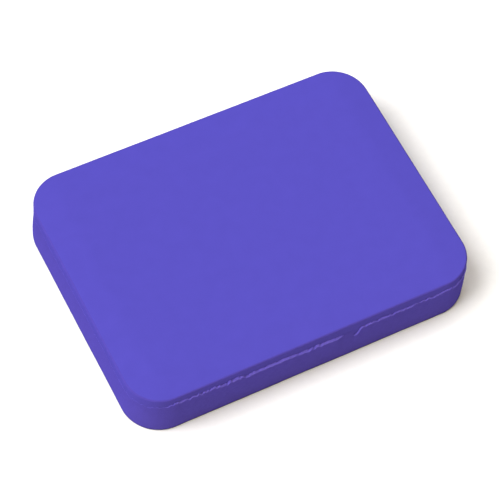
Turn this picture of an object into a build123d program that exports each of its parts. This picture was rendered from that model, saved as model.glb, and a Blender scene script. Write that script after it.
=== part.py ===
from build123d import *
import os

# Chalkboard eraser: felt wiping strips on a felt web, stiffened by a board, under a soft
# moulded foam cover, with a thin felt band wrapped round the wall.
# Millimetres. X runs along the length, Y across the width and Z up. The origin is the
# centre of the wiping face, so the felt meets the chalkboard at z = 0.

# ---- Driving dimensions ----
length = 100.0
width = 75.0
height = 16.0
corner_radius = 10.5

# Felt below the board
strip_count = 9
strip_width = 5.0
spacer_width = 3.4
strip_clearance = 0.1
strip_edge_round = 0.4
channel_depth = 3.6
strip_top = 8.6
web_thickness = 1.0

# Board, cushion and moulded cover above the felt
board_thickness = 1.5
board_clearance = 0.1
cover_skirt_thickness = 1.8
cover_roof_thickness = 1.8
crown_rise = 0.6
crown_border = 6.5
rim_radius = 0.7

# Band round the wall. Its two ends meet on the front: the left end's upper corner is skived
# to a thin edge, and the right end's upper corner is cut off on a slant.
band_thickness = 0.5
band_bottom = 0.3
band_top = 11.6
joint_x = 12.0
joint_gap = 0.1
skive_length = 9.0
skived_thickness = 0.1
slant_width = 2.6
slant_drop = 3.0

# Bead of adhesive on the band's raw top edge, left out where the left end is thin
bead_depth = 0.45
bead_height = 0.7
bead_crest_depth = 0.12
bead_end_x = 9.0

# ---- Heights and outlines that follow from them ----
web_top = strip_top + web_thickness
board_top = web_top + board_thickness
rim_height = height - crown_rise
cavity_top = rim_height - cover_roof_thickness
bead_top = band_top + bead_height
strip_pitch = strip_width + spacer_width + 2 * strip_clearance

cover_length = length - 2 * band_thickness
cover_width = width - 2 * band_thickness
cover_corner_radius = corner_radius - band_thickness
felt_length = cover_length - 2 * strip_clearance
felt_width = cover_width - 2 * strip_clearance
felt_corner_radius = cover_corner_radius - strip_clearance
cavity_length = cover_length - 2 * cover_skirt_thickness
cavity_width = cover_width - 2 * cover_skirt_thickness
cavity_corner_radius = cover_corner_radius - cover_skirt_thickness
board_length = cavity_length - 2 * board_clearance
board_width = cavity_width - 2 * board_clearance
board_corner_radius = cavity_corner_radius - board_clearance

slant_foot_height = band_top - slant_drop
slant_end_x = joint_x + slant_width
cut_margin = 1.0
front_cut_depth = 2 * cut_margin + band_thickness

os.makedirs("parts", exist_ok=True)


# ---- Felt strips that wipe, and the shorter spacer strips between them ----
def felt_lath(centre_y, lath_width, bottom):
    """A felt strip along X, trimmed at both ends to the eraser's rounded outline."""
    with BuildPart() as lath:
        with BuildSketch(Plane.XY.offset(bottom)):
            RectangleRounded(felt_length, felt_width, felt_corner_radius)
            with Locations((0, centre_y)):
                Rectangle(felt_length, lath_width, mode=Mode.INTERSECT)
        extrude(amount=strip_top - bottom)
        fillet(lath.faces().sort_by(Axis.Z)[0].edges(), radius=strip_edge_round)
    return lath.part


for index in range(strip_count):
    centre_y = (index - (strip_count - 1) / 2) * strip_pitch
    felt_strip = felt_lath(centre_y, strip_width, 0)
    felt_strip.label = f"felt_strip_{index + 1}"
    export_step(felt_strip, f"parts/felt_strip_{index + 1}.step")

for index in range(strip_count - 1):
    centre_y = (index - (strip_count - 2) / 2) * strip_pitch
    spacer_strip = felt_lath(centre_y, spacer_width, channel_depth)
    spacer_strip.label = f"spacer_strip_{index + 1}"
    export_step(spacer_strip, f"parts/spacer_strip_{index + 1}.step")


# ---- Felt web: one sheet that every strip is bonded to ----
with BuildPart() as felt_web:
    with BuildSketch(Plane.XY.offset(strip_top)):
        RectangleRounded(cover_length, cover_width, cover_corner_radius)
    extrude(amount=web_thickness)
felt_web.part.label = "felt_web"
export_step(felt_web.part, "parts/felt_web.step")


# ---- Backing board: spreads the hand's pressure over the felt ----
with BuildPart() as backing_board:
    with BuildSketch(Plane.XY.offset(web_top)):
        RectangleRounded(board_length, board_width, board_corner_radius)
    extrude(amount=board_thickness)
backing_board.part.label = "backing_board"
export_step(backing_board.part, "parts/backing_board.step")


# ---- Grip cushion: soft foam between the board and the cover's roof ----
with BuildPart() as grip_cushion:
    with BuildSketch(Plane.XY.offset(board_top)):
        RectangleRounded(board_length, board_width, board_corner_radius)
    extrude(amount=cavity_top - board_top)
grip_cushion.part.label = "grip_cushion"
export_step(grip_cushion.part, "parts/grip_cushion.step")


# ---- Top cover: moulded foam shell with a shallow crown and a soft rim ----
with BuildPart() as top_cover:
    with BuildSketch(Plane.XY.offset(web_top)):
        RectangleRounded(cover_length, cover_width, cover_corner_radius)
    extrude(amount=rim_height - web_top)
    with BuildSketch(Plane.XY.offset(rim_height)):
        RectangleRounded(cover_length, cover_width, cover_corner_radius)
    with BuildSketch(Plane.XY.offset(height)):
        RectangleRounded(
            cover_length - 2 * crown_border,
            cover_width - 2 * crown_border,
            cover_corner_radius - crown_border,
        )
    loft()
    rim_edges = top_cover.edges().filter_by_position(Axis.Z, rim_height, rim_height)
    fillet(rim_edges, radius=rim_radius)
    with BuildSketch(Plane.XY.offset(web_top)):
        RectangleRounded(cavity_length, cavity_width, cavity_corner_radius)
    extrude(amount=cavity_top - web_top, mode=Mode.SUBTRACT)
top_cover.part.label = "top_cover"
export_step(top_cover.part, "parts/top_cover.step")


# ---- Side band: thin felt strip round the wall, its two ends meeting on the front ----
with BuildPart() as side_band:
    with BuildSketch(Plane.XY.offset(band_bottom)):
        RectangleRounded(length, width, corner_radius)
        RectangleRounded(cover_length, cover_width, cover_corner_radius, mode=Mode.SUBTRACT)
    extrude(amount=band_top - band_bottom)
    with BuildSketch(Plane.XY.offset(slant_foot_height)):
        with BuildLine():
            Polyline(
                (joint_x - skive_length, -width / 2),
                (joint_x, -cover_width / 2 - skived_thickness),
                (joint_x, -width / 2),
                close=True,
            )
        make_face()
    extrude(amount=height, mode=Mode.SUBTRACT)
    with BuildSketch(Plane.XZ.offset(width / 2 + cut_margin)):
        with BuildLine():
            Polyline(
                (joint_x, slant_foot_height),
                (slant_end_x, band_top),
                (slant_end_x, band_top + cut_margin),
                (joint_x, band_top + cut_margin),
                close=True,
            )
        make_face()
        with Locations((joint_x, height / 2)):
            Rectangle(joint_gap, height)
    extrude(amount=-front_cut_depth, mode=Mode.SUBTRACT)
side_band.part.label = "side_band"
export_step(side_band.part, "parts/side_band.step")


# ---- Seam bead: adhesive along the band's top edge and down the slant of its right end ----
with BuildPart() as seam_bead:
    with BuildSketch(Plane.XY.offset(band_top)):
        RectangleRounded(
            cover_length + 2 * bead_depth,
            cover_width + 2 * bead_depth,
            cover_corner_radius + bead_depth,
        )
    with BuildSketch(Plane.XY.offset(bead_top)):
        RectangleRounded(
            cover_length + 2 * bead_crest_depth,
            cover_width + 2 * bead_crest_depth,
            cover_corner_radius + bead_crest_depth,
        )
    loft()
    with BuildSketch(Plane.XZ.offset(width / 2 + cut_margin)):
        with Locations(((bead_end_x + slant_end_x) / 2, height / 2)):
            Rectangle(slant_end_x - bead_end_x, height)
    extrude(amount=-front_cut_depth, mode=Mode.SUBTRACT)
    with BuildSketch(Plane.XZ.offset(cover_width / 2 + bead_depth)):
        with BuildLine():
            Polyline(
                (joint_x, slant_foot_height),
                (slant_end_x, band_top),
                (slant_end_x, bead_top),
                (joint_x, slant_foot_height + bead_height),
                close=True,
            )
        make_face()
    extrude(amount=-bead_depth)
    with BuildSketch(Plane.XY.offset(slant_foot_height)):
        RectangleRounded(cover_length, cover_width, cover_corner_radius)
    extrude(amount=height - slant_foot_height, mode=Mode.SUBTRACT)
seam_bead.part.label = "seam_bead"
export_step(seam_bead.part, "parts/seam_bead.step")
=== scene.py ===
import math

import bmesh
import bpy
import numpy as np
from mathutils import Matrix, Vector, noise


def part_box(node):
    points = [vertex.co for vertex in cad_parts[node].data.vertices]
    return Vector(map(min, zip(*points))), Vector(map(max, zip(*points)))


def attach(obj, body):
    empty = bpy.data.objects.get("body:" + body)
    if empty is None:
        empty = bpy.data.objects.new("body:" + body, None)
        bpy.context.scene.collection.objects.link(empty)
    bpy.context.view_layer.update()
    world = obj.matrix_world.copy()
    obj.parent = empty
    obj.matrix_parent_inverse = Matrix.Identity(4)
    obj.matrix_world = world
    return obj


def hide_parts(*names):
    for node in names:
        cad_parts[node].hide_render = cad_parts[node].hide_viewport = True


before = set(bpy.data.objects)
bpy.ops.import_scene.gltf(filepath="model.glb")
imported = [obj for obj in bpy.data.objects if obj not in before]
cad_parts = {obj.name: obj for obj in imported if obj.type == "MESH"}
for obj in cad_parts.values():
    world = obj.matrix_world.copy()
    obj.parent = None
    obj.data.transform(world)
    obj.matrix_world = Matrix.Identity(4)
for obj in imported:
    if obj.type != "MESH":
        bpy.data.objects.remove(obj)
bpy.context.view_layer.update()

# Chalkboard eraser: the looks of the moulded foam cover, the felt strips, the wrapped felt
# band and the ragged bead of adhesive along the band's top edge.
# Shapes are worked out in millimetres, in the CAD frame: X along the length, Y across the
# width with the front wall at -Y, Z up from the wiping face. MM turns them into metres.
MM = 0.001


def box(node):
    """Lowest and highest corners of a CAD node, in millimetres."""
    low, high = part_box(node)
    return np.array(low) / MM, np.array(high) / MM


band_low, band_high = box("side_band")
cover_low, cover_high = box("top_cover")
cushion_low, cushion_high = box("grip_cushion")
web_low, web_high = box("felt_web")

# ---- Shape shared by several pieces ----
CLEARANCE = 0.03
BAND_CORNER = 10.5
BAND_DEPTH = band_high[0] - cover_high[0]
COVER_CORNER = BAND_CORNER - BAND_DEPTH
SKIRT_THICKNESS = 1.8


# ---- Outlines and skins ----
def around(distance, half_length, half_width, radius):
    """The spine and the outward normals of a rounded rectangle, at distances along its outline,
    anticlockwise from the middle of its front side. Spine plus radius times normal is the outline."""
    flat_x, flat_y = half_length - radius, half_width - radius
    quarter = radius * math.pi / 2
    end_legs = [quarter, 2 * flat_y, quarter]
    legs = np.array([flat_x, *end_legs, 2 * flat_x, *end_legs, flat_x])
    ends = np.cumsum(legs)
    where = np.mod(distance, ends[-1])
    leg = np.minimum(np.searchsorted(ends, where, side="right"), len(legs) - 1)
    into = where - ends[leg] + legs[leg]
    turning = leg % 2 == 1
    angle = (leg // 2 - 1) * math.pi / 2 + np.where(turning, into / radius, 0)
    normals = np.stack([np.cos(angle), np.sin(angle)], axis=-1)
    tangents = np.stack([-np.sin(angle), np.cos(angle)], axis=-1)
    corner_x = np.array([0, 1, 1, 1, 1, -1, -1, -1, -1]) * flat_x
    corner_y = np.array([-1, -1, -1, 1, 1, 1, 1, -1, -1]) * flat_y
    spine = np.stack([corner_x[leg], corner_y[leg]], axis=-1)
    spine = spine + tangents * np.where(turning, 0, into)[:, None]
    return spine, normals


def outline_length(half_length, half_width, radius):
    """The length once round a rounded rectangle."""
    return 4 * (half_length + half_width - 2 * radius) + 2 * math.pi * radius


def closed_loop(half_length, half_width, radius, spacing):
    """Distances round a whole outline from the middle of its front left corner, and how many
    steps its front and its right side take. Opposite sides take the same number."""
    side_x = 2 * (half_length - radius) + radius * math.pi / 2
    side_y = 2 * (half_width - radius) + radius * math.pi / 2
    steps_x, steps_y = round(side_x / spacing), round(side_y / spacing)
    start = -side_x / 2
    distances = []
    for side, steps in ((side_x, steps_x), (side_y, steps_y), (side_x, steps_x), (side_y, steps_y)):
        distances.extend(start + side * np.arange(steps) / steps)
        start += side
    return np.array(distances), steps_x, steps_y


def loop_faces(rows, columns):
    """Quads between successive rings of points, numbered ring by ring."""
    faces = []
    for row in range(rows - 1):
        this, following = row * columns, (row + 1) * columns
        for column in range(columns):
            beside = (column + 1) % columns
            faces.append((this + column, this + beside, following + beside, following + column))
    return faces


def lid(points, ring_start, steps_x, steps_y):
    """Coons' patch over the closed ring of points that starts at index ring_start: the new
    points inside it, and its faces, numbered as if the new points follow the given ones."""
    count = 2 * (steps_x + steps_y)
    ring = points[ring_start : ring_start + count]
    loop = np.vstack([ring, ring[:1]])
    front = loop[: steps_x + 1]
    right = loop[steps_x : steps_x + steps_y + 1]
    back = loop[steps_x + steps_y : 2 * steps_x + steps_y + 1][::-1]
    left = loop[2 * steps_x + steps_y :][::-1]
    u = np.linspace(0, 1, steps_x + 1)[None, :, None]
    v = np.linspace(0, 1, steps_y + 1)[:, None, None]
    grid = (1 - v) * front[None] + v * back[None] + (1 - u) * left[:, None] + u * right[:, None]
    corners = (1 - u) * (1 - v) * front[0] + u * (1 - v) * front[-1]
    corners = corners + (1 - u) * v * back[0] + u * v * back[-1]
    grid -= corners
    inner = grid[1:-1, 1:-1].reshape(-1, 3)
    numbers = np.empty((steps_y + 1, steps_x + 1), int)
    numbers[1:-1, 1:-1] = len(points) + np.arange(len(inner)).reshape(steps_y - 1, steps_x - 1)
    rim = ring_start + np.append(np.arange(count), 0)
    numbers[0, :] = rim[: steps_x + 1]
    numbers[:, -1] = rim[steps_x : steps_x + steps_y + 1]
    numbers[-1, :] = rim[steps_x + steps_y : 2 * steps_x + steps_y + 1][::-1]
    numbers[:, 0] = rim[2 * steps_x + steps_y :][::-1]
    faces = [
        (numbers[r, c], numbers[r, c + 1], numbers[r + 1, c + 1], numbers[r + 1, c])
        for r in range(steps_y)
        for c in range(steps_x)
    ]
    return inner, faces


def closed_skin(rings, steps_x, steps_y):
    """Points and faces of a closed body: rings of points joined side by side, with a lid on
    the first ring and one on the last."""
    rows, columns = rings.shape[:2]
    points = rings.reshape(-1, 3)
    faces = loop_faces(rows, columns)
    for ring_start in (0, (rows - 1) * columns):
        inner, lid_faces = lid(points, ring_start, steps_x, steps_y)
        points = np.vstack([points, inner])
        faces += lid_faces
    return points, faces


def block(half_length, half_width, corner, spacing, profile):
    """Points and faces of a closed body with a rounded outline. Its profile is a list of (inset
    from the outline, height), from the edge of one lid to the edge of the other."""
    distances, steps_x, steps_y = closed_loop(half_length, half_width, corner, spacing)
    spine, normals = around(distances, half_length, half_width, corner)
    rings = []
    for inset, height in profile:
        flat = spine + normals * (corner - inset)
        rings.append(np.column_stack([flat, np.full(len(flat), height)]))
    return closed_skin(np.array(rings), steps_x, steps_y)


def arc(inset, height, radius, start, end, steps):
    """Profile points on an arc about (inset, height), from one angle to another in degrees."""
    angles = np.radians(np.linspace(start, end, steps + 1))
    return [(inset + radius * math.cos(a), height + radius * math.sin(a)) for a in angles]


def open_ring(spine, normals, inner, rows):
    """Points and faces of a strip bent round an outline, closed by a flat cap at each end. Each
    row of its section is (how far out from inner, height), one value for every place along it."""
    lines = [np.column_stack([spine + normals * (inner + out)[:, None], height]) for out, height in rows]
    rings = np.array(lines).transpose(1, 0, 2)
    count = len(rows)
    points = rings.reshape(-1, 3)
    faces = loop_faces(len(rings), count)
    faces.append(tuple(range(count)))
    faces.append(tuple(range(len(points) - count, len(points))))
    return points, faces


def ease(value, start, end):
    """0 up to start, 1 from end on, with a smooth rise between them."""
    share = np.clip((value - start) / (end - start), 0, 1)
    return share * share * (3 - 2 * share)


# An unevenness is given as its spacing, seed and depth, or as its spacing and seed where its depth
# is worked out
DRAWS = 4096
SEED_SHIFT = np.array([17.3, 5.1, 9.7])


def wander(distance, spacing, seed):
    """A smooth random line between -1 and 1, with one random value every spacing."""
    draws = np.random.default_rng(seed).uniform(-1, 1, DRAWS)
    cell = np.floor(distance / spacing).astype(int)
    share = ease(distance / spacing - cell, 0, 1)
    return draws[cell % DRAWS] * (1 - share) + draws[(cell + 1) % DRAWS] * share


def lumps(points, spacing, seed):
    """Smooth random values about 0, one lump every spacing, at points in space."""
    return np.array([noise.noise(Vector(p)) for p in points / spacing + SEED_SHIFT * seed])


CREASE_ANGLE = math.radians(50)


def piece(name, points, faces, material, node):
    """Makes a smooth closed mesh, from points in millimetres, that stands for a CAD node."""
    mesh = bpy.data.meshes.new(name)
    mesh.from_pydata((points * MM).tolist(), [], faces)
    shape = bmesh.new()
    shape.from_mesh(mesh)
    bmesh.ops.recalc_face_normals(shape, faces=shape.faces)
    shape.to_mesh(mesh)
    shape.free()
    mesh.polygons.foreach_set("use_smooth", [True] * len(mesh.polygons))
    mesh.set_sharp_from_angle(angle=CREASE_ANGLE)
    mesh.materials.append(material)
    made = bpy.data.objects.new(name, mesh)
    bpy.context.scene.collection.objects.link(made)
    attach(made, "root")
    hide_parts(node)


# ---- Materials ----
# Colours are linear. A pair is the two ends of a mix.
TOP_VIOLET = (0.0709, 0.0585, 0.3848)
# The cover's walls: the top's violet with painted shade, darker and a little redder
WALL_PAINTED_SHADE_VIOLET = (0.0669, 0.0527, 0.3359)
# The rim where the top turns down to the wall: painted shade, darker than the top
RIM_PAINTED_SHADE_VIOLET = (0.0675, 0.0503, 0.3250)
BAND_VIOLET = (0.0711, 0.0541, 0.3360)
# A paler violet painted towards the band's foot: painted light from below
PAINTED_UPLIGHT_VIOLET = (0.1260, 0.0945, 0.5040)
BEAD_VIOLET = (0.1346, 0.1012, 0.5777)
# Cream foam, and a darker cream painted into its cells' hollows as painted shade
CREAM_AND_PAINTED_SHADE = ((0.78, 0.72, 0.58), (0.5, 0.44, 0.32))
GREY = ((0.36, 0.33, 0.28), (0.52, 0.48, 0.41))
PAPER = ((0.87, 0.87, 0.87), (0.89, 0.89, 0.89))
CELL_SIZE = 0.7


class Shader:
    """A Principled material whose textures follow object coordinates, which are metres."""

    def __init__(self, name):
        self.material = bpy.data.materials.new(name)
        self.material.use_nodes = True
        self.tree = self.material.node_tree
        self.surface = self.tree.nodes["Principled BSDF"]
        self.place = self.tree.nodes.new("ShaderNodeTexCoord").outputs["Object"]

    def add(self, kind, **settings):
        """A new node of the given kind."""
        node = self.tree.nodes.new(kind)
        for key, value in settings.items():
            setattr(node, key, value)
        return node

    def join(self, output, target):
        """Links a node's output to another node's input."""
        self.tree.links.new(output, target)

    def grain(self, size, detail, stretch=(1, 1, 1), turn=(0, 0, 0)):
        """Noise with features about size millimetres across, stretched along an axis if asked."""
        mapping = self.add("ShaderNodeMapping", vector_type="POINT")
        mapping.inputs["Rotation"].default_value = turn
        mapping.inputs["Scale"].default_value = [1 / (s * size * MM) for s in stretch]
        self.join(self.place, mapping.inputs["Vector"])
        texture = self.add("ShaderNodeTexNoise")
        texture.inputs["Scale"].default_value = 1.0
        texture.inputs["Detail"].default_value = detail
        self.join(mapping.outputs["Vector"], texture.inputs["Vector"])
        return texture.outputs["Fac"]

    def math(self, operation, first, second):
        """What an operation makes of two values, each a number or another node's output."""
        node = self.add("ShaderNodeMath", operation=operation)
        for slot, value in enumerate((first, second)):
            if isinstance(value, (int, float)):
                node.inputs[slot].default_value = value
            else:
                self.join(value, node.inputs[slot])
        return node.outputs[0]

    def span(self, value, low, high, start=0.0, end=1.0):
        """value taken from low..high to start..end, held at both ends."""
        node = self.add("ShaderNodeMapRange")
        node.inputs["From Min"].default_value = low
        node.inputs["From Max"].default_value = high
        node.inputs["To Min"].default_value = start
        node.inputs["To Max"].default_value = end
        self.join(value, node.inputs["Value"])
        return node.outputs["Result"]

    def mix(self, share, first, second):
        """A colour between two, each a colour or another node's output. A mix node keeps its
        colour inputs in places 6 and 7, and its colour output in place 2."""
        node = self.add("ShaderNodeMix", data_type="RGBA")
        self.join(share, node.inputs["Factor"])
        for socket, value in ((node.inputs[6], first), (node.inputs[7], second)):
            if isinstance(value, tuple):
                socket.default_value = (*value, 1)
            else:
                self.join(value, socket)
        return node.outputs[2]

    def bump(self, height, depth, under=None):
        """A bump of the given depth in millimetres, on top of another bump if there is one."""
        node = self.add("ShaderNodeBump")
        node.inputs["Strength"].default_value = 1.0
        node.inputs["Distance"].default_value = depth * MM
        self.join(height, node.inputs["Height"])
        if under is not None:
            self.join(under, node.inputs["Normal"])
        return node.outputs["Normal"]

    def finish(self, colour, roughness, normal, sheen=0.0, specular=0.0):
        """The material, once these are joined to its surface."""
        self.join(colour, self.surface.inputs["Base Color"])
        self.join(roughness, self.surface.inputs["Roughness"])
        self.join(normal, self.surface.inputs["Normal"])
        self.surface.inputs["Sheen Weight"].default_value = sheen
        self.surface.inputs["Sheen Roughness"].default_value = 0.6
        self.surface.inputs["Specular IOR Level"].default_value = specular
        return self.material


def shade(colour, factor):
    """A darker or paler version of a colour."""
    return tuple(channel * factor for channel in colour)


def foam_skin():
    """The cover's moulded skin: matt, with a very fine grain and slow changes of tone. Its walls are
    painted darker and a little redder than its top, as painted shade, and its rim is painted darker than
    its top, as painted shade."""
    shader = Shader("foam_skin")
    split = shader.add("ShaderNodeSeparateXYZ")
    shader.join(shader.add("ShaderNodeNewGeometry").outputs["Normal"], split.inputs["Vector"])
    facing_up = split.outputs["Z"]
    tone = shader.span(shader.grain(4.0, detail=3.0), 0.3, 0.7)
    speck = shader.span(shader.grain(0.35, detail=2.0), 0.35, 0.65)
    top = shader.mix(tone, shade(TOP_VIOLET, 0.982), shade(TOP_VIOLET, 1.018))
    # Painted shade: faces that turn from up towards the side take the darker, redder wall colour
    base = shader.mix(shader.span(facing_up, 0.1, 0.9), WALL_PAINTED_SHADE_VIOLET, top)
    # Painted shade: where the top bends down into the wall, the colour is painted darker
    off_wall = shader.span(facing_up, 0.0, 0.4)
    off_top = shader.span(facing_up, 0.98, 0.993, start=1, end=0)
    base = shader.mix(shader.math("MULTIPLY", off_wall, off_top), base, RIM_PAINTED_SHADE_VIOLET)
    colour = shader.mix(shader.math("MULTIPLY", speck, 0.06), base, shade(TOP_VIOLET, 0.7))
    pores = shader.bump(shader.grain(0.22, detail=2.0), 0.02)
    normal = shader.bump(shader.grain(3.0, detail=1.0), 0.03, pores)
    roughness = shader.span(tone, 0, 1, start=0.70, end=0.80)
    return shader.finish(colour, roughness, normal)


FIBRE_WIDTH = 0.12
FIBRE_STRETCH = (9, 1, 1)
FIBRE_TURNS = ((0.3, 0.2, 0.5), (1.1, 0.7, 1.9), (0.6, 1.5, 2.8), (2.1, 0.4, 0.9))
# Painted light from below starts below the first height and is full at the second, at this share
PAINTED_UPLIGHT = (10, 2, 0.07)


def felt(name, colour, contrast, depth, foot=None):
    """Pressed felt: matted fibres lying every way, some paler and some darker. Where it has a foot, it is
    painted a little paler downwards, as painted light from below, and darker below the height called foot,
    as a painted shadow along the floor."""
    shader = Shader(name)
    strands = []
    for turn in FIBRE_TURNS:
        strands.append(shader.grain(FIBRE_WIDTH, detail=2.0, stretch=FIBRE_STRETCH, turn=turn))
    heights = strands[0]
    for strand in strands[1:]:
        heights = shader.math("MAXIMUM", heights, strand)
    fibres = shader.span(heights, 0.5, 0.78)
    clumps = shader.span(shader.grain(1.0, detail=3.0), 0.3, 0.7)
    dark = shader.mix(clumps, shade(colour, 1 - contrast), shade(colour, 1 - 0.3 * contrast))
    blend = shader.mix(fibres, dark, shade(colour, 1 + contrast))
    if foot is not None:
        split = shader.add("ShaderNodeSeparateXYZ")
        shader.join(shader.place, split.inputs["Vector"])
        height = split.outputs["Z"]
        # Painted light from below: the felt is painted paler towards its foot
        above, below, share = PAINTED_UPLIGHT
        painted_uplight = shader.span(height, above * MM, below * MM, start=0.0, end=share)
        blend = shader.mix(painted_uplight, blend, PAINTED_UPLIGHT_VIOLET)
        # Painted shadow: the felt is painted far darker just above the floor, below the height called foot
        clear_of_painted_shadow = shader.span(height, band_low[2] * MM, foot * MM)
        blend = shader.mix(clear_of_painted_shadow, shade(colour, 0.25), blend)
    nap = shader.bump(fibres, depth)
    normal = shader.bump(clumps, depth * 1.5, nap)
    roughness = shader.span(fibres, 0, 1, start=0.98, end=0.88)
    return shader.finish(blend, roughness, normal)


def adhesive():
    """Dried contact adhesive with felt fluff caught in it: pale, uneven and faintly glossy."""
    shader = Shader("adhesive")
    fluff = shader.span(shader.grain(0.3, detail=3.0, stretch=(3, 3, 1)), 0.35, 0.65)
    colour = shader.mix(fluff, shade(BEAD_VIOLET, 0.85), shade(BEAD_VIOLET, 1.15))
    normal = shader.bump(shader.grain(0.18, detail=3.0), 0.05)
    roughness = shader.span(fluff, 0, 1, start=0.55, end=0.85)
    return shader.finish(colour, roughness, normal, sheen=0.02, specular=0.1)


def open_foam():
    """Cream polyurethane foam with open cells, whose hollows are painted darker as painted shade."""
    shader = Shader("open_foam")
    cells = shader.add("ShaderNodeTexVoronoi", feature="DISTANCE_TO_EDGE")
    cells.inputs["Scale"].default_value = 1 / (CELL_SIZE * MM)
    shader.join(shader.place, cells.inputs["Vector"])
    hollow = shader.span(cells.outputs["Distance"], 0.0, 0.2)
    # Painted shade: the cells' hollows take the darker cream
    colour = shader.mix(hollow, *CREAM_AND_PAINTED_SHADE)
    normal = shader.bump(shader.math("SUBTRACT", 1.0, hollow), 0.15)
    return shader.finish(colour, shader.span(hollow, 0, 1, start=0.9, end=1.0), normal, specular=0.1)


def greyboard():
    """Recycled greyboard, with flecks of paper and short fibres."""
    shader = Shader("greyboard")
    flecks = shader.span(shader.grain(0.5, detail=4.0, stretch=(3, 1, 1)), 0.4, 0.7)
    colour = shader.mix(flecks, *GREY)
    normal = shader.bump(flecks, 0.03)
    return shader.finish(colour, shader.span(flecks, 0, 1, start=0.85, end=0.95), normal, specular=0.2)


skin_material = foam_skin()
band_material = felt("band_felt", BAND_VIOLET, contrast=0.12, depth=0.03, foot=1.0)
strip_material = felt("strip_felt", shade(BAND_VIOLET, 0.95), contrast=0.22, depth=0.07)
spacer_material = felt("spacer_felt", shade(BAND_VIOLET, 0.85), contrast=0.22, depth=0.07)
bead_material = adhesive()
foam_material = open_foam()
board_material = greyboard()


# ---- Moulded cover ----
# TUCKED_WALL runs behind the band, from this far above the foot to this far below the band's top.
# BARE_WALL runs from this far below the band's top to this far below the rim.
COVER_SPACING = 0.6
CROWN_RISE = 0.6
CROWN_BEND = (6.0, 9.0)
PLATEAU_INSET = 9.2
RIM_RADIUS = 0.45
RIM_TURN = 84
CAVITY_ROUND = 0.5
FOOT_ROUND = 0.15
SKIRT_HEIGHTS = (1.5, 0.4)
TUCKED_WALL = (0.5, 1.2)
BARE_WALL = (0.9, 0.2)
DENTS = ((14.0, 1, 0.10), (5.0, 2, 0.03))


def crown(inset):
    """Height of the crowned top, before its rim is rounded, at an inset from the outline. The
    border slopes evenly, then bends until it is level."""
    start, end = CROWN_BEND
    slope = CROWN_RISE / ((start + end) / 2)
    bent = np.clip((inset - start) / (end - start), 0, 1)
    to_level = np.maximum(start - inset, 0) + (end - start) * (0.5 - bent + bent**3 - bent**4 / 2)
    return cover_high[2] - slope * to_level


def cover_profile():
    """(inset, height) from the cavity's roof, down its wall, round the skirt and up to the plateau."""
    roof = cushion_high[2] + CLEARANCE
    foot = cover_low[2] + CLEARANCE
    wall_top = float(crown(0)) - RIM_RADIUS
    profile = [(PLATEAU_INSET, roof), (SKIRT_THICKNESS + 2 * CAVITY_ROUND, roof)]
    profile += arc(SKIRT_THICKNESS + CAVITY_ROUND, roof - CAVITY_ROUND, CAVITY_ROUND, 90, 180, 4)
    profile += [(SKIRT_THICKNESS, foot + height) for height in SKIRT_HEIGHTS]
    profile += arc(SKIRT_THICKNESS - FOOT_ROUND, foot + FOOT_ROUND, FOOT_ROUND, 0, -90, 3)
    profile += arc(CLEARANCE + FOOT_ROUND, foot + FOOT_ROUND, FOOT_ROUND, -90, -180, 3)
    above, below = TUCKED_WALL
    profile += [(CLEARANCE, height) for height in np.linspace(foot + above, band_high[2] - below, 3)]
    start, end = BARE_WALL
    profile += [(0, height) for height in np.linspace(band_high[2] - start, wall_top - end, 8)]
    for angle in np.radians(np.linspace(0, RIM_TURN, 13)):
        inset = RIM_RADIUS * (1 - math.cos(angle))
        profile.append((inset, float(crown(inset)) - RIM_RADIUS * (1 - math.sin(angle))))
    for inset in np.linspace(RIM_RADIUS, PLATEAU_INSET, 16):
        profile.append((inset, float(crown(inset))))
    return profile


def build_cover():
    """The moulded shell, with slight dents where hands have pressed its upper part."""
    points, faces = block(cover_high[0], cover_high[1], COVER_CORNER, COVER_SPACING, cover_profile())
    upper = np.clip((points[:, 2] - band_high[2]) / (cover_high[2] - band_high[2]), 0, 1)
    give = sum(lumps(points, spacing, seed) * depth for spacing, seed, depth in DENTS)
    points[:, 2] += upper * np.minimum(give, 0.0)
    piece("moulded_cover", points, faces, skin_material, "top_cover")


# ---- Grip cushion, hidden under the cover ----
CUSHION_SPACING = 1.2
CUSHION_SLACK = 0.1
CUSHION_CHAMFER = 0.3
CUSHION_ROUND = 1.0
CUSHION_WAIST = 0.25
CUSHION_LID = 3.0
CUSHION_LUMPS = (6.0, 3, 0.25)
CUSHION_FOOT = 0.5


def build_cushion():
    """A foam pad, flat where it lies on the board and softly rounded round its upper edge."""
    low, high = cushion_low[2], cushion_high[2]
    profile = [(CUSHION_LID, low), (CUSHION_SLACK + CUSHION_CHAMFER, low)]
    profile += [(CUSHION_SLACK, low + CUSHION_CHAMFER), (CUSHION_WAIST, (low + high) / 2)]
    profile += arc(CUSHION_SLACK + CUSHION_ROUND, high - CUSHION_ROUND, CUSHION_ROUND, 180, 90, 6)
    profile += [(CUSHION_LID, high)]
    corner = COVER_CORNER - SKIRT_THICKNESS
    points, faces = block(cushion_high[0], cushion_high[1], corner, CUSHION_SPACING, profile)
    spacing, seed, depth = CUSHION_LUMPS
    upper = points[:, 2] > low + CUSHION_FOOT
    points[:, 2] -= upper * np.abs(lumps(points, spacing, seed)) * depth
    piece("foam_cushion", points, faces, foam_material, "grip_cushion")


# ---- Felt web, which the strips hang from ----
WEB_SPACING = 0.9
WEB_ROUND = 0.25
WEB_LID = 2.0
WEB_FRAY = (1.5, 4, 0.15)
WEB_FRAYED = 1.0


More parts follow.
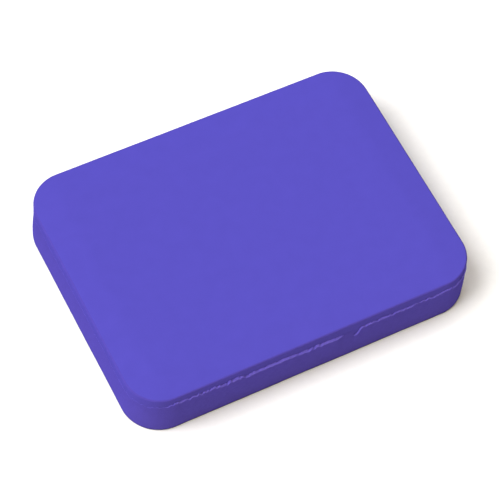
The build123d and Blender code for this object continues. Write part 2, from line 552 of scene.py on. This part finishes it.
def build_web():
    """The sheet of felt across the whole eraser, a little frayed at its two short edges."""
    half_length, half_width = web_high[0] - CLEARANCE, web_high[1] - CLEARANCE
    low, high = web_low[2] + CLEARANCE, web_high[2] - CLEARANCE
    profile = [(WEB_LID, low)] + arc(WEB_ROUND, low + WEB_ROUND, WEB_ROUND, -90, -180, 3)
    profile += arc(WEB_ROUND, high - WEB_ROUND, WEB_ROUND, 180, 90, 3) + [(WEB_LID, high)]
    points, faces = block(half_length, half_width, COVER_CORNER - CLEARANCE, WEB_SPACING, profile)
    spacing, seed, depth = WEB_FRAY
    edge = np.abs(points[:, 0]) > half_length - WEB_FRAYED
    points[:, 0] -= np.sign(points[:, 0]) * edge * np.abs(lumps(points, spacing, seed)) * depth
    piece("web_sheet", points, faces, strip_material, "felt_web")


# ---- Felt strips ----
# WORN_FACE and FRAYED_END are (spacing, depth) of their lumps
STRIP_SPACING = 0.45
STRIP_STATIONS = 121
STRIP_ROUND = 0.7
STRIP_WAVE = 0.05
WAVE_SPACING = 18.0
WAVE_START = -200.0
END_STEPS = 4
FELT_CLEARANCE = 0.1
WORN_FACE = (2.5, 0.18)
FRAYED_END = (1.3, 0.2)
FRAYED_BEYOND = 30.0
FRAY_SEED_STEP = 5
CHANNEL_END_GAP = 0.3
CHANNEL_SEEDS_FROM = 20


def lath_stations():
    """Places along a strip: (share of its reach from the middle, how far it is set back from
    there, how far its section shrinks), with both ends rounded off."""
    turn = [
        (STRIP_ROUND * (1 - math.cos(angle)), STRIP_ROUND * (1 - math.sin(angle)))
        for angle in np.radians(np.linspace(0, 90, END_STEPS + 1))
    ]
    shares = np.linspace(-1, 1, STRIP_STATIONS)[1:-1]
    stations = [(-1, back, inset) for back, inset in turn]
    stations += [(share, STRIP_ROUND * abs(share), 0.0) for share in shares]
    stations += [(1, back, inset) for back, inset in turn[::-1]]
    return stations


def build_lath(name, node, material, end_gap, seed):
    """One felt strip: soft-edged, faintly wavy, cut at both ends to the eraser's outline."""
    low, high = box(node)
    centre_y, centre_z = (low[1] + high[1]) / 2, (low[2] + high[2]) / 2
    half_y, half_z = (high[1] - low[1]) / 2 - STRIP_WAVE, (high[2] - low[2]) / 2
    distances, steps_x, steps_y = closed_loop(half_y, half_z, STRIP_ROUND, STRIP_SPACING)
    spine, normals = around(distances, half_y, half_z, STRIP_ROUND)
    felt_x, felt_y = cover_high[0] - FELT_CLEARANCE, cover_high[1] - FELT_CLEARANCE
    corner = COVER_CORNER - FELT_CLEARANCE
    rings = []
    for share, back, inset in lath_stations():
        section = spine + normals * (STRIP_ROUND - inset)
        y = centre_y + section[:, 0]
        into_corner = np.clip(np.abs(y) - (felt_y - corner), 0, corner)
        reach = felt_x - corner + np.sqrt(corner**2 - into_corner**2) - end_gap
        x = share * reach - np.sign(share) * back
        rings.append(np.column_stack([x, y, centre_z + section[:, 1]]))
    points, faces = closed_skin(np.array(rings), steps_x, steps_y)
    points[:, 1] += STRIP_WAVE * wander(points[:, 0] - WAVE_START, WAVE_SPACING, seed)
    spacing, depth = WORN_FACE
    lower = points[:, 2] < centre_z
    points[:, 2] += lower * np.abs(lumps(points, spacing, seed)) * depth
    spacing, depth = FRAYED_END
    end = np.sign(points[:, 0]) * (np.abs(points[:, 0]) > FRAYED_BEYOND)
    points[:, 0] -= end * np.abs(lumps(points, spacing, seed + FRAY_SEED_STEP)) * depth
    piece(name, points, faces, material, node)


# ---- Band round the wall ----
# Distances run along the band's outline from the middle of the front, where they equal x. The
# band's ends meet at JOINT_X, and its right end's corner is cut off on a slant. The bead on its
# top edge stops at BEAD_END, on the left of the joint.
JOINT_X = 12.0
JOINT_GAP = 0.02
SLANT_WIDTH, SLANT_DROP = 2.6, 3.0
# (distance past the joint, share of SLANT_DROP that is cut away there)
SLANT_CUT = ((0, 1), (SLANT_WIDTH / 2, 0.6), (SLANT_WIDTH / 2 + 0.4, 0.2), (SLANT_WIDTH, 0))
BEAD_END = 9.0
BAND_LOOP = outline_length(band_high[0], band_high[1], BAND_CORNER)
BAND_STEP = 0.3
BAND_FULL = BAND_DEPTH - CLEARANCE
FEATHERED = 0.03
PRESSED_BELOW = 9.0

# (distance, how much of the raw top edge shows there)
EDGE_SHOWN = (
    (-150, 0.5),
    (-125, 0.0),
    (-47.5, 0.0),
    (-46.5, 0.09),
    (-45.5, 0.0),
    (-44.5, 0.09),
    (-43.5, 0.0),
    (-41.5, 0.2),
    (-39.5, 0.6),
    (-29, 0.65),
    (-25, 1.0),
    (7, 1.0),
    (BEAD_END, 0.0),
    (JOINT_X, 0.0),
    (JOINT_X + 0.8, 0.7),
    (29, 0.7),
    (31, 0.1),
    (33, 0.6),
    (60, 0.5),
)
# (distance, how far the knife strayed up and down there)
EDGE_RAGGED = ((-60, 0.25), (-44, 0.48), (-22, 0.48), (-16, 0.26), (8, 0.26), (14, 0.25))
# (spacing, seed, share or height) of the knife's short and long strayings
EDGE_NIBBLES = ((0.9, 11, 1.0), (0.45, 12, 0.7))
EDGE_SWEEP = (9.0, 13, 0.15)
# (distance of its middle, reach, rise) of each long swell in the edge
EDGE_SWELLS = (
    (-18.0, 14.0, 0.4),
    (-37.0, 9.0, 1.0),
    (20.0, 12.0, 0.2),
    (33.0, 7.0, 0.35),
    (41.0, 5.0, 0.6),
)


def from_middle(distance):
    """The distance from the middle of the front, the shorter way round and negative on the left."""
    return (distance + BAND_LOOP / 2) % BAND_LOOP - BAND_LOOP / 2


def raw_edge(distance):
    """How much of the band's raw top edge shows: all of it on the front left, less on the
    front right, only traces round the left corner, and none on the left wall."""
    return np.interp(from_middle(distance), *np.transpose(EDGE_SHOWN))


def untrimmed_edge(distance):
    """Height of the band's top edge, before its right end's corner is cut off."""
    front = from_middle(distance)
    ragged = np.interp(front, *np.transpose(EDGE_RAGGED))
    nibbled = sum(share * wander(distance, spacing, seed) for spacing, seed, share in EDGE_NIBBLES)
    spacing, seed, sweep = EDGE_SWEEP
    height = band_high[2] + ragged * nibbled + sweep * wander(distance, spacing, seed)
    for middle, reach, rise in EDGE_SWELLS:
        height += rise * np.exp(-(((front - middle) / reach) ** 2))
    return height


def band_edge(distance):
    """Height of the band's hand-cut top edge, with the slanted cut at its right end."""
    cut = np.interp(distance - JOINT_X, *np.transpose(SLANT_CUT))
    return untrimmed_edge(distance) - SLANT_DROP * cut


def band_thickness(distance, height):
    """The band's thickness at a height: whole at the foot, and pressed in towards the wall at
    the top, down to what shows of the raw edge."""
    edge = FEATHERED + (BAND_FULL - FEATHERED) * raw_edge(distance)
    return edge + (BAND_FULL - edge) * ease(untrimmed_edge(distance) - height, 0, PRESSED_BELOW)


# Rows of points, as shares of the band's height up its outer face, of its thickness over its raw
# edge, of its height down its inner face, and of its thickness under its foot
FACE_ROWS = (0.0, 0.015, 0.05, 0.15, 0.3, 0.45, 0.6, 0.7, 0.78, 0.84, 0.89, 0.93, 0.96, 0.985, 1.0)
EDGE_ROWS = (0.85, 0.4)
WALL_ROWS = (0.75, 0.5, 0.25, 0.02)
FOOT_ROWS = (0.3, 0.6)
EDGE_CROWN = 0.03
FOOT_CROWN = 0.04
FOOT_UNEVEN = (3.0, 15, 0.12)
FACE_HOLLOW = (11.0, 16, 0.05)
HOLLOW_BELOW = 2.5
# The foot's outer corner is drawn in by this share of the thickness, up to this share of the height
FOOT_TUCK, FOOT_TUCKED = 0.12, 0.05


def build_band():
    """The band, from its right end round the whole wall to its left end."""
    steps = round(BAND_LOOP / BAND_STEP)
    distances = np.linspace(JOINT_X + JOINT_GAP / 2, JOINT_X + BAND_LOOP - JOINT_GAP / 2, steps + 1)
    spine, normals = around(distances, band_high[0], band_high[1], BAND_CORNER)
    inner = COVER_CORNER + CLEARANCE / 2
    top = band_edge(distances)
    spacing, seed, depth = FOOT_UNEVEN
    low = band_low[2] + depth * np.abs(wander(distances, spacing, seed))
    spacing, seed, depth = FACE_HOLLOW
    hollow = depth * np.minimum(wander(distances, spacing, seed), 0)
    edge = band_thickness(distances, top)
    wall = np.zeros(len(distances))
    rows = []
    for share in FACE_ROWS:
        height = low + (top - low) * share
        tucked = FOOT_TUCK * (1 - ease(share, 0, FOOT_TUCKED))
        out = band_thickness(distances, height) * (1 - tucked)
        rows.append((out + hollow * ease(top - height, 0, HOLLOW_BELOW), height))
    rows += [(edge * share, top + EDGE_CROWN) for share in EDGE_ROWS]
    rows.append((wall, top))
    rows += [(wall, low + (top - low) * share) for share in WALL_ROWS]
    rows += [(wall + BAND_FULL * share, low - FOOT_CROWN) for share in FOOT_ROWS]
    points, faces = open_ring(spine, normals, inner, rows)
    piece("felt_band", points, faces, band_material, "side_band")


# ---- Bead of adhesive on the band's top edge ----
BEAD_STEP = 0.2
BEAD_START = 0.05
BEAD_OFF_WALL = 0.005
# How much of the edge counts as showing on the slant
BEAD_ON_SLANT = 0.6
# How far the bead covers the band's edge and beyond: everywhere, more where the raw edge shows,
# and more on the slant
BEAD_OVERLAP = (0.01, 0.02, 0.08)
# (size everywhere, more where the raw edge shows, spacing, seed)
BEAD_RISE = (0.02, 0.46, 1.1, 22)
BEAD_DRIP = (0.01, 0.14, 0.7, 24)
BEAD_BULGE = (0.0, 0.04, 0.9, 25)
RISE_VARIES = 0.5
# Its section's outer points: (share of its depth, share of its bulge, share of its rise)
BEAD_FACE = (
    (1.0, 1.0, 0.1),
    (0.85, 0.8, 0.4),
    (0.55, 0.6, 0.75),
    (0.25, 0.0, 0.95),
    (0.0, 0.0, 1.0),
)
# Its section's two points against the band and the wall: (share of its depth, height)
BEAD_UNDERSIDE = (0.3, 0.02)
BEAD_INNER_FOOT = (0.0, 0.05)


def build_bead():
    """A lumpy fillet of adhesive and fluff between the raw edge and the cover's wall, from the
    foot of the slant right round to where the band's left end is pressed flush."""
    steps = round(BAND_LOOP / BEAD_STEP)
    distances = np.linspace(JOINT_X + BEAD_START, BEAD_END + BAND_LOOP, steps + 1)
    spine, normals = around(distances, band_high[0], band_high[1], BAND_CORNER)
    inner = COVER_CORNER + BEAD_OFF_WALL
    on_slant = 1 - ease(distances - JOINT_X, SLANT_WIDTH / 2, SLANT_WIDTH)
    shown = np.maximum(raw_edge(distances), BEAD_ON_SLANT * on_slant)
    base = band_edge(distances)
    everywhere, if_shown, if_slant = BEAD_OVERLAP
    depth = band_thickness(distances, base) + everywhere + if_shown * shown + if_slant * on_slant
    least, more, spacing, seed = BEAD_RISE
    rise = least + more * shown * (1 + RISE_VARIES * wander(distances, spacing, seed))
    least, more, spacing, seed = BEAD_DRIP
    drip = least + more * shown * np.abs(wander(distances, spacing, seed))
    least, more, spacing, seed = BEAD_BULGE
    bulge = least + more * shown * (1 + wander(distances, spacing, seed))
    share, height = BEAD_UNDERSIDE
    rows = [(share * depth, base + height), (depth, base - drip)]
    rows += [(out * depth + full * bulge, base + up * rise) for out, full, up in BEAD_FACE]
    share, height = BEAD_INNER_FOOT
    rows.append((share * depth, base + height))
    points, faces = open_ring(spine, normals, inner, rows)
    piece("adhesive_bead", points, faces, bead_material, "seam_bead")


# ---- Every piece ----
build_cover()
build_cushion()
build_web()
build_band()
build_bead()
for node in sorted(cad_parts):
    number = node.rsplit("_", 1)[-1]
    if node.startswith("felt_strip_"):
        build_lath("wiping_strip_" + number, node, strip_material, 0.0, int(number))
    if node.startswith("spacer_strip_"):
        seed = CHANNEL_SEEDS_FROM + int(number)
        build_lath("channel_strip_" + number, node, spacer_material, CHANNEL_END_GAP, seed)
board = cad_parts["backing_board"]
board.data.materials.clear()
board.data.materials.append(board_material)


# ---- Floor, light and camera ----
# The floor's gap and tuck are in millimetres. Its fade, the lamps and the camera are in metres.
FLOOR_GAP = 0.02
FLOOR_TUCK = 2.5
FLOOR_SPREAD = 40
FLOOR_FADE = (0.4, 1.3)
CENTRE = Vector((0, 0, cover_high[2] * MM / 2))


def floor_material():
    """Matt white paper, clear far from the eraser and when seen from below."""
    shader = Shader("pale_floor")
    paper = shader.span(shader.grain(2.0, detail=2.0), 0.3, 0.7)
    rough = shader.span(paper, 0, 1, start=0.9, end=1.0)
    material = shader.finish(shader.mix(paper, *PAPER), rough, shader.bump(paper, 0.01))
    distance = shader.add("ShaderNodeVectorMath", operation="LENGTH")
    shader.join(shader.place, distance.inputs[0])
    faded = shader.span(distance.outputs["Value"], *FLOOR_FADE)
    from_below = shader.add("ShaderNodeNewGeometry").outputs["Backfacing"]
    clear = shader.add("ShaderNodeMixShader")
    shader.join(shader.math("MAXIMUM", from_below, faded), clear.inputs["Fac"])
    shader.join(shader.surface.outputs["BSDF"], clear.inputs[1])
    shader.join(shader.add("ShaderNodeBsdfTransparent").outputs["BSDF"], clear.inputs[2])
    shader.join(clear.outputs["Shader"], shader.tree.nodes["Material Output"].inputs["Surface"])
    return material


def build_floor():
    """A plain pale floor, just under the wiping face, that fades into the white background. It
    is clear from below and open under the eraser, so that the felt can be looked at too."""
    distances, _, _ = closed_loop(band_high[0], band_high[1], BAND_CORNER, 2.0)
    spine, normals = around(distances, band_high[0], band_high[1], BAND_CORNER)
    opening = spine + normals * (BAND_CORNER - FLOOR_TUCK)
    level = np.full(len(opening), -FLOOR_GAP)
    rings = [np.column_stack([opening * spread, level]) for spread in (FLOOR_SPREAD, 1)]
    mesh = bpy.data.meshes.new("floor")
    mesh.from_pydata((np.vstack(rings) * MM).tolist(), [], loop_faces(2, len(opening)))
    mesh.materials.append(floor_material())
    floor = bpy.data.objects.new("floor", mesh)
    bpy.context.scene.collection.objects.link(floor)


def direction(azimuth, elevation):
    """From the eraser outwards, by angles in degrees. Azimuth 0 is in front, 90 at the right."""
    turn, lift = math.radians(azimuth), math.radians(elevation)
    return Vector((math.sin(turn) * math.cos(lift), -math.cos(turn) * math.cos(lift), math.sin(lift)))


def area_light(name, azimuth, elevation, distance, size, power, colour=(1.0, 1.0, 1.0)):
    """A square soft light, aimed at the eraser."""
    data = bpy.data.lights.new(name, "AREA")
    data.size = size
    data.energy = power
    data.color = colour
    lamp = bpy.data.objects.new(name, data)
    away = direction(azimuth, elevation)
    lamp.location = CENTRE + away * distance
    lamp.rotation_euler = away.to_track_quat("Z", "Y").to_euler()
    bpy.context.scene.collection.objects.link(lamp)


# The light changes over this much of a direction's height, just under the horizon
HORIZON = 0.01


def build_world(above, below):
    """Even white light, weaker from above the floor than from below, and a white background."""
    world = bpy.data.worlds.new("studio")
    world.use_nodes = True
    nodes, links = world.node_tree.nodes, world.node_tree.links
    aim = nodes.new("ShaderNodeSeparateXYZ")
    links.new(nodes.new("ShaderNodeTexCoord").outputs["Generated"], aim.inputs["Vector"])
    light = nodes.new("ShaderNodeMapRange")
    for socket, value in (("From Min", -HORIZON), ("From Max", 0.0), ("To Min", below), ("To Max", above)):
        light.inputs[socket].default_value = value
    links.new(aim.outputs["Z"], light.inputs["Value"])
    strength = nodes.new("ShaderNodeMapRange")
    strength.inputs["To Max"].default_value = 1.0
    links.new(nodes.new("ShaderNodeLightPath").outputs["Is Camera Ray"], strength.inputs["Value"])
    links.new(light.outputs["Result"], strength.inputs["To Min"])
    back = nodes["Background"]
    back.inputs["Color"].default_value = (1, 1, 1, 1)
    links.new(strength.outputs["Result"], back.inputs["Strength"])
    bpy.context.scene.world = world


CAMERA_AZIMUTH, CAMERA_ELEVATION = -32.24, 59.08
CAMERA_ROLL = math.radians(6.38)
CAMERA_LENGTHS_AWAY = 6.177
CAMERA_SHIFT_RIGHT, CAMERA_SHIFT_UP = 0.00039, -0.00184
CAMERA_LENS, CAMERA_SENSOR = 164.97, 36.0
CAMERA_CLIP = 0.05


def build_camera():
    """A long lens, turned a little about its own axis, above the front left corner."""
    back = direction(CAMERA_AZIMUTH, CAMERA_ELEVATION)
    azimuth = math.radians(CAMERA_AZIMUTH)
    level = Vector((math.cos(azimuth), math.sin(azimuth), 0))
    up = back.cross(level)
    right = level * math.cos(CAMERA_ROLL) + up * math.sin(CAMERA_ROLL)
    up = up * math.cos(CAMERA_ROLL) - level * math.sin(CAMERA_ROLL)
    data = bpy.data.cameras.new("camera")
    data.lens = CAMERA_LENS
    data.sensor_width = CAMERA_SENSOR
    data.clip_start = CAMERA_CLIP
    camera = bpy.data.objects.new("camera", data)
    camera.matrix_world = Matrix((right, up, back)).transposed().to_4x4()
    reach = CAMERA_LENGTHS_AWAY * 2 * cover_high[0] * MM
    camera.location = CENTRE + back * reach + right * CAMERA_SHIFT_RIGHT + up * CAMERA_SHIFT_UP
    bpy.context.scene.collection.objects.link(camera)
    bpy.context.scene.camera = camera


build_floor()
build_world(above=0.21, below=1.3)
area_light("key", -99, 53, distance=8.0, size=5.76, power=962.0)
area_light("front", -10, 30, distance=2.5, size=1.8, power=18.1, colour=(1.0, 0.70, 0.15))
area_light("back", 150, 65, distance=2.5, size=1.8, power=20.9)
build_camera()
bpy.context.scene.view_settings.view_transform = "Standard"
